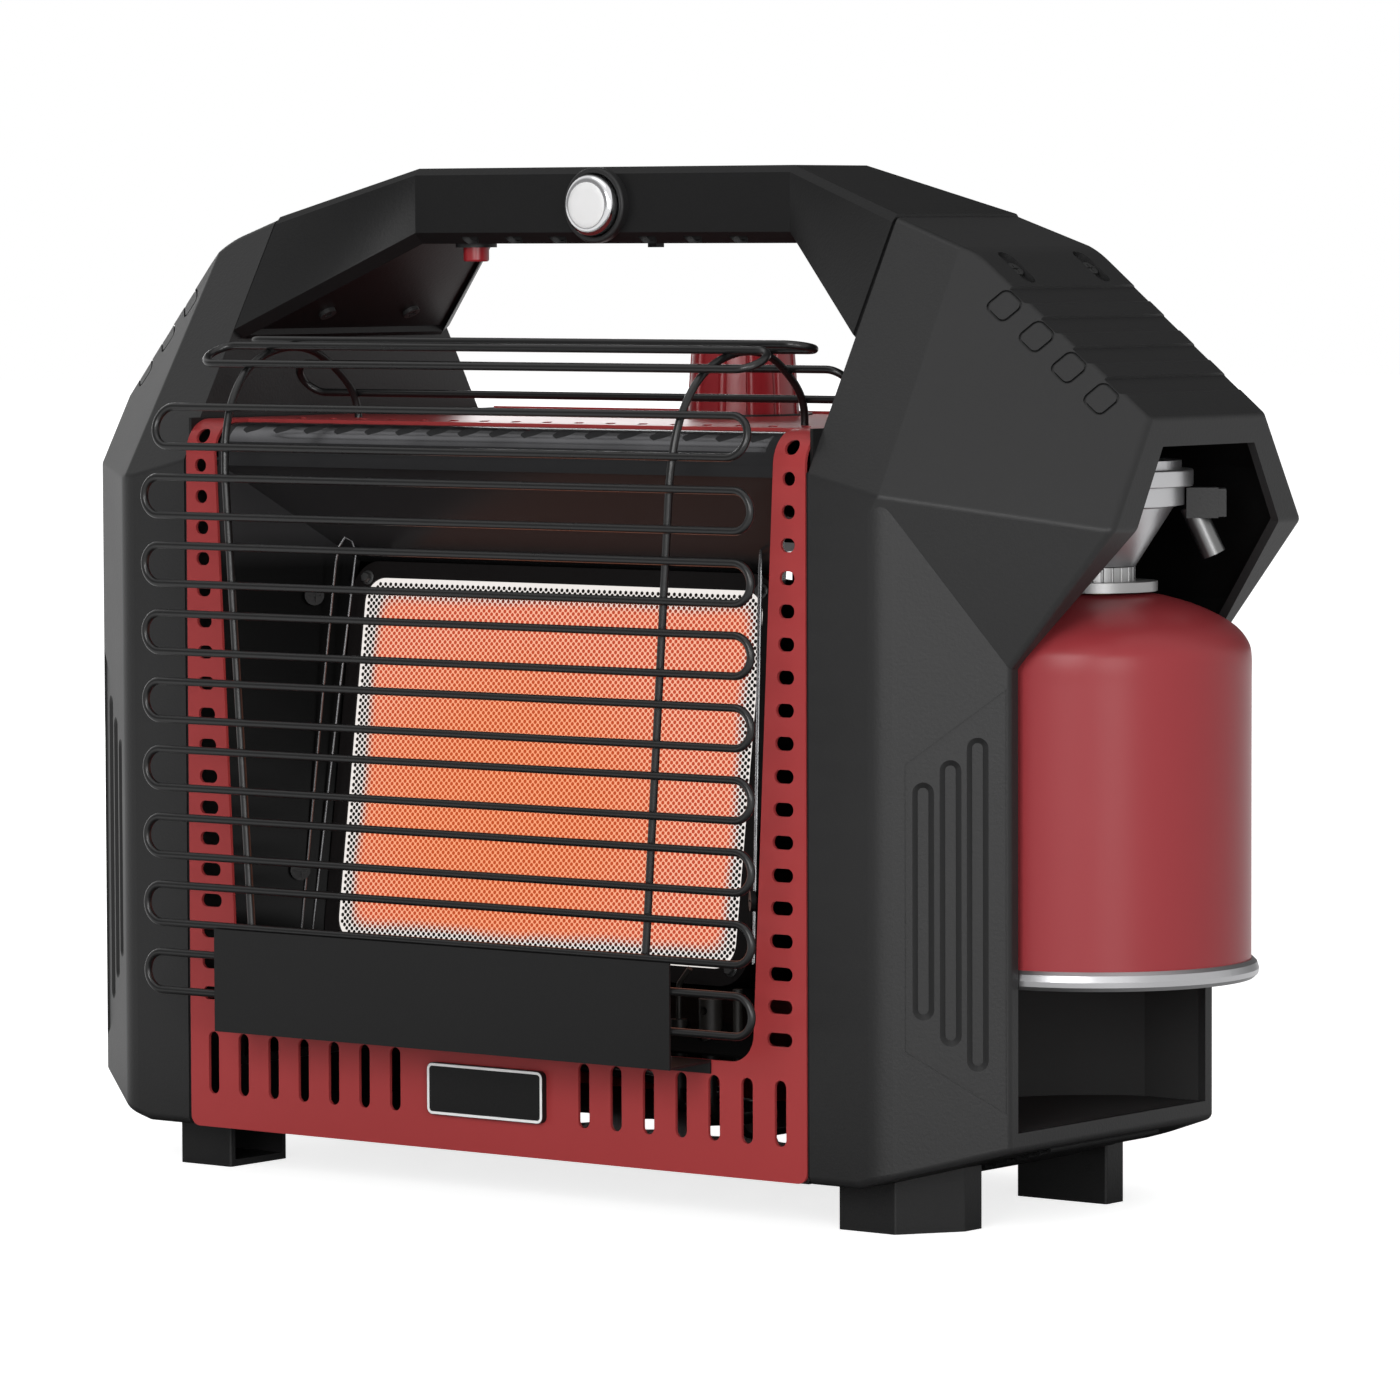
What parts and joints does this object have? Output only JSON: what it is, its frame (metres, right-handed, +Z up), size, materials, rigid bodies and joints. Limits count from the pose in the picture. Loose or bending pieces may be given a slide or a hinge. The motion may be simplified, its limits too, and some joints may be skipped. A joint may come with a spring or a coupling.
{
  "type": "portable propane heater",
  "caption": "Portable gas heater: red steel body, tilted ceramic burner behind a wire guard, black end housings, carrying handle, push-turn knob and a screw-in gas cartridge in a side bay.",
  "frame": {"origin": "on the ground, midway between the four feet and below the handle", "axes": "+X to the gas cartridge's side, +Y to the back, +Z up; the burner faces -Y"},
  "size_m": [0.4641, 0.2083, 0.3675],
  "materials": {
    "black_plastic": "fine grained, satin",
    "red_paint": "satin powder coat",
    "red_plastic": "satin",
    "black_wire": "satin black",
    "dark_steel": "glossy dark",
    "steel": "plain sheet",
    "chrome": "polished",
    "silver_paint": "silver lacquer",
    "can_paint": "satin lacquer",
    "ceramic": "perforated ceramic, glowing",
    "alloy": "cast",
    "dark_alloy": "cast, heat-darkened",
    "silver_alloy": "die-cast, silver lacquer",
    "burnt_steel": "heat-darkened",
    "black_screw": "blackened",
    "brass": "machined",
    "copper_pipe": "drawn tube",
    "lead": "silicone sleeve",
    "spring_steel": "wire"
  },
  "bodies": {
    "heater": {"base_plate": "steel", "bay_liner": "black_plastic", "burner_frame": "dark_alloy", "burner_pipe": "copper_pipe", "ceramic_plaque": "ceramic", "electrode": "burnt_steel", "foot_front_left": "black_plastic", "foot_front_right": "black_plastic", "foot_rear_left": "black_plastic", "foot_rear_right": "black_plastic", "foot_screws": "black_screw", "front_panel": "red_paint", "gas_injector": "brass", "gas_valve": "alloy", "guard_plate": "black_wire", "guard_screws": "black_screw", "handle_cover": "black_plastic", "handle_screws": "black_screw", "handle_shell": "black_plastic", "housing_screws": "black_screw", "igniter_bezel": "black_plastic", "igniter_lead": "lead", "knob_dish": "black_plastic", "left_housing": "black_plastic", "left_side_plate": "steel", "mixing_tube": "burnt_steel", "name_plate": "black_plastic", "piezo_body": "black_plastic", "pilot_bracket": "burnt_steel", "pilot_burner": "burnt_steel", "pilot_pipe": "copper_pipe", "rear_panel": "red_paint", "rear_screws": "black_screw", "reflector": "dark_steel", "reflector_screws": "black_screw", "regulator_block": "black_plastic", "regulator_body": "silver_alloy", "regulator_bracket": "alloy", "regulator_cover": "silver_alloy", "regulator_outlet": "silver_alloy", "right_housing": "black_plastic", "right_side_plate": "steel", "stud_flange": "black_plastic", "stud_spring": "spring_steel", "supply_pipe": "copper_pipe", "thermocouple": "copper_pipe", "valve_bracket": "steel", "valve_spring": "spring_steel", "wire_guard": "black_wire"},
    "push_pin": {"valve_plunger": "steel"},
    "knob": {"control_knob": "red_plastic", "valve_stem": "steel"},
    "igniter": {"igniter_button": "chrome", "igniter_spring": "spring_steel"},
    "stud": {"stud_button": "red_plastic"},
    "nut": {"cartridge_nut": "chrome"},
    "cartridge": {"cartridge_body": "can_paint", "cartridge_rim": "silver_paint", "cartridge_valve": "brass"}
  },
  "joints": [
    {"name": "knob_push", "type": "slide", "parent": "heater", "child": "push_pin", "axis": [0, 0, -1], "range_m": [0, 0.0035], "stiffness_N_per_m": 800, "springref_m": -0.005, "deforming": ["valve_spring"]},
    {"name": "knob_turn", "type": "hinge", "parent": "push_pin", "child": "knob", "pos_m": [0, 0.061, 0.28], "axis": [0, 0, -1], "range_deg": [-180, 0]},
    {"name": "igniter_press", "type": "slide", "parent": "heater", "child": "igniter", "axis": [0, 1, 0], "range_m": [0, 0.003], "stiffness_N_per_m": 1200, "springref_m": -0.003},
    {"name": "stud_press", "type": "slide", "parent": "heater", "child": "stud", "axis": [0, 0, 1], "range_m": [0, 0.0025], "stiffness_N_per_m": 600, "springref_m": -0.003, "deforming": ["stud_spring"]},
    {"name": "nut_turn", "type": "hinge", "parent": "heater", "child": "nut", "pos_m": [0.1997, 0, 0.222], "axis": [0, 0, 1], "continuous": true},
    {"name": "cartridge_release", "type": "slide", "parent": "heater", "child": "cartridge", "axis": [0, 0, -1], "range_m": [0, 0.014]}
  ]
}
